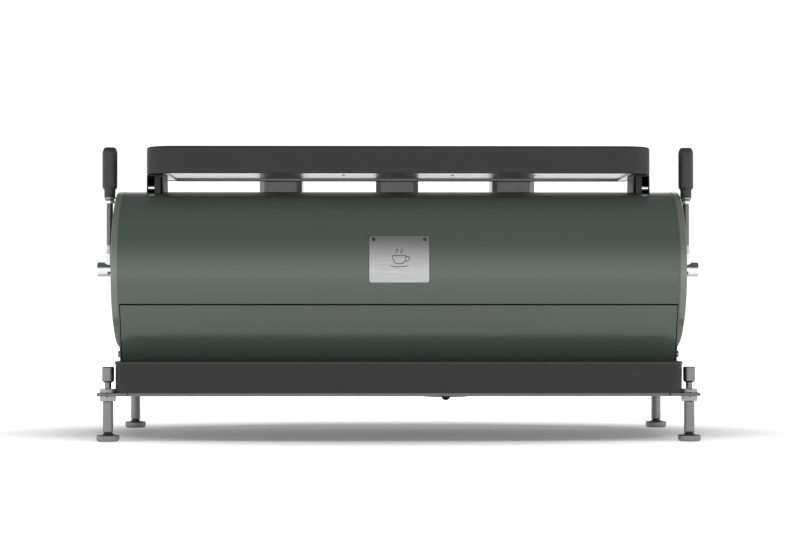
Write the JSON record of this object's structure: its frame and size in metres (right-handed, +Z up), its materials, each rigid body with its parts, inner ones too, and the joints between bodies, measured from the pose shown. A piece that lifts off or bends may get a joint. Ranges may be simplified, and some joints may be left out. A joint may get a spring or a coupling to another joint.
{
  "type": "espresso machine",
  "caption": "Counter-top espresso machine with a painted horizontal barrel body, black base and cup tray, side steam levers, brewing groups and screw-adjustable feet.",
  "frame": {"origin": "on the surface the feet stand on, under the middle of the bounding box", "axes": "+Z up; +Y towards the barista, where the groups and wands are; -Y the customer's side with the nameplate; X along the barrel"},
  "size_m": [1.0196, 0.5742, 0.492],
  "materials": {
    "green_paint": "semi-gloss grey-green paint",
    "green_grey_paint": "satin grey-green paint",
    "ring_paint": "satin pale grey-green",
    "black_satin": "satin black powder coat",
    "underside_grey": "dull grey sheet",
    "housing_grey": "satin grey",
    "chassis_steel": "plain steel plate",
    "stainless": "brushed stainless",
    "satin_steel": "turned, satin",
    "bright_steel": "bright",
    "dark_steel": "dark satin",
    "brushed_plate": "brushed along the machine's length",
    "chrome": "polished",
    "motor_grey": "cast, painted",
    "black_plastic": "matte",
    "black_grip": "satin",
    "gasket_rubber": "matte"
  },
  "bodies": {
    "machine": {"base_frame": "chassis_steel", "base_surround": "black_satin", "base_lid": "black_satin", "foot_nuts": "bright_steel", "drain_cup": "black_plastic", "rear_upper_panel": "green_paint", "rear_lower_panel": "green_paint", "front_panel": "green_paint", "frame_plates": "green_grey_paint", "side_rings": "ring_paint", "side_covers": "green_grey_paint", "steam_boiler": "stainless", "pump_motor": "motor_grey", "pressure_gauge": "chrome", "nameplate": "brushed_plate", "panel_screws": "bright_steel", "cup_tray": "black_satin", "cup_tray_underside": "underside_grey", "tray_brackets": "black_satin", "group_housings": "housing_grey", "group_boilers": "stainless", "group_heads": "chrome", "group_gaskets": "gasket_rubber", "shower_screens": "stainless", "outlet_arms": "chrome"},
    "drip_tray": {"drip_tray": "stainless"},
    "drip_grille": {"drip_grille": "stainless"},
    "hot_water_spout": {"hot_water_spout": "chrome"},
    "power_switch": {"power_switch": "black_plastic"},
    "foot_rear_left": {"levelling_foot_rear_left": "satin_steel"},
    "foot_front_left": {"levelling_foot_front_left": "satin_steel"},
    "steam_lever_left": {"steam_lever_hub_left": "chrome", "steam_lever_rod_left": "dark_steel", "steam_lever_grip_left": "black_grip"},
    "steam_wand_ball_collar_left": {"steam_wand_collar_left": "chrome"},
    "steam_wand_left": {"steam_wand_left": "chrome", "steam_wand_tip_left": "stainless"},
    "foot_rear_right": {"levelling_foot_rear_right": "satin_steel"},
    "foot_front_right": {"levelling_foot_front_right": "satin_steel"},
    "steam_lever_right": {"steam_lever_hub_right": "chrome", "steam_lever_rod_right": "dark_steel", "steam_lever_grip_right": "black_grip"},
    "steam_wand_ball_collar_right": {"steam_wand_collar_right": "chrome"},
    "steam_wand_right": {"steam_wand_right": "chrome", "steam_wand_tip_right": "stainless"},
    "portafilter_1": {"portafilter_1": "chrome", "portafilter_basket_1": "stainless", "portafilter_handle_1": "black_grip", "portafilter_spout_1": "chrome"},
    "brew_paddle_1": {"brew_paddle_1": "chrome"},
    "portafilter_2": {"portafilter_2": "chrome", "portafilter_basket_2": "stainless", "portafilter_handle_2": "black_grip", "portafilter_spout_2": "chrome"},
    "brew_paddle_2": {"brew_paddle_2": "chrome"},
    "portafilter_3": {"portafilter_3": "chrome", "portafilter_basket_3": "stainless", "portafilter_handle_3": "black_grip", "portafilter_spout_3": "chrome"},
    "brew_paddle_3": {"brew_paddle_3": "chrome"}
  },
  "joints": [
    {"name": "drip_tray_lift", "type": "slide", "parent": "machine", "child": "drip_tray", "axis": [0, 0, 1], "range_m": [0, 0.045]},
    {"name": "drip_grille_lift", "type": "slide", "parent": "drip_tray", "child": "drip_grille", "axis": [0, 0, 1], "range_m": [0, 0.012]},
    {"name": "foot_rear_left_height", "type": "slide", "parent": "machine", "child": "foot_rear_left", "axis": [0, 0, -1], "range_m": [0, 0.01]},
    {"name": "foot_front_left_height", "type": "slide", "parent": "machine", "child": "foot_front_left", "axis": [0, 0, -1], "range_m": [0, 0.01]},
    {"name": "steam_lever_left_pull", "type": "hinge", "parent": "machine", "child": "steam_lever_left", "pos_m": [-0.4896, -0.15363, 0.285], "axis": [-1, 0, 0], "range_deg": [0, 50]},
    {"name": "steam_wand_swivel_left", "type": "hinge", "parent": "machine", "child": "steam_wand_ball_collar_left", "pos_m": [-0.398, 0.03437, 0.336], "axis": [0, 0, 1], "range_deg": [-60, 60]},
    {"name": "steam_wand_tilt_left", "type": "hinge", "parent": "steam_wand_ball_collar_left", "child": "steam_wand_left", "pos_m": [-0.398, 0.03437, 0.336], "axis": [1, 0, 0], "range_deg": [-10, 30]},
    {"name": "foot_rear_right_height", "type": "slide", "parent": "machine", "child": "foot_rear_right", "axis": [0, 0, -1], "range_m": [0, 0.01]},
    {"name": "foot_front_right_height", "type": "slide", "parent": "machine", "child": "foot_front_right", "axis": [0, 0, -1], "range_m": [0, 0.01]},
    {"name": "steam_lever_right_pull", "type": "hinge", "parent": "machine", "child": "steam_lever_right", "pos_m": [0.4896, -0.15363, 0.285], "axis": [-1, 0, 0], "range_deg": [0, 50]},
    {"name": "steam_wand_swivel_right", "type": "hinge", "parent": "machine", "child": "steam_wand_ball_collar_right", "pos_m": [0.398, 0.03437, 0.336], "axis": [0, 0, 1], "range_deg": [-60, 60]},
    {"name": "steam_wand_tilt_right", "type": "hinge", "parent": "steam_wand_ball_collar_right", "child": "steam_wand_right", "pos_m": [0.398, 0.03437, 0.336], "axis": [1, 0, 0], "range_deg": [-10, 30]},
    {"name": "hot_water_spout_swivel", "type": "hinge", "parent": "machine", "child": "hot_water_spout", "pos_m": [0.1035, 0.03437, 0.336], "axis": [0, 0, 1], "range_deg": [-50, 50]},
    {"name": "power_switch_turn", "type": "hinge", "parent": "machine", "child": "power_switch", "pos_m": [-0.4065, 0.19437, 0.1035], "axis": [0, 1, 0], "range_deg": [0, 90]},
    {"name": "portafilter_1_lock", "type": "hinge", "parent": "machine", "child": "portafilter_1", "pos_m": [-0.207, 0.08237, 0.302], "axis": [0, 0, 1], "range_deg": [-45, 0]},
    {"name": "brew_paddle_1_turn", "type": "hinge", "parent": "machine", "child": "brew_paddle_1", "pos_m": [-0.207, 0.13437, 0.436], "axis": [0, 1, 0], "range_deg": [-45, 45]},
    {"name": "portafilter_2_lock", "type": "hinge", "parent": "machine", "child": "portafilter_2", "pos_m": [0, 0.08237, 0.302], "axis": [0, 0, 1], "range_deg": [-45, 0]},
    {"name": "brew_paddle_2_turn", "type": "hinge", "parent": "machine", "child": "brew_paddle_2", "pos_m": [0, 0.13437, 0.436], "axis": [0, 1, 0], "range_deg": [-45, 45]},
    {"name": "portafilter_3_lock", "type": "hinge", "parent": "machine", "child": "portafilter_3", "pos_m": [0.207, 0.08237, 0.302], "axis": [0, 0, 1], "range_deg": [-45, 0]},
    {"name": "brew_paddle_3_turn", "type": "hinge", "parent": "machine", "child": "brew_paddle_3", "pos_m": [0.207, 0.13437, 0.436], "axis": [0, 1, 0], "range_deg": [-45, 45]}
  ]
}
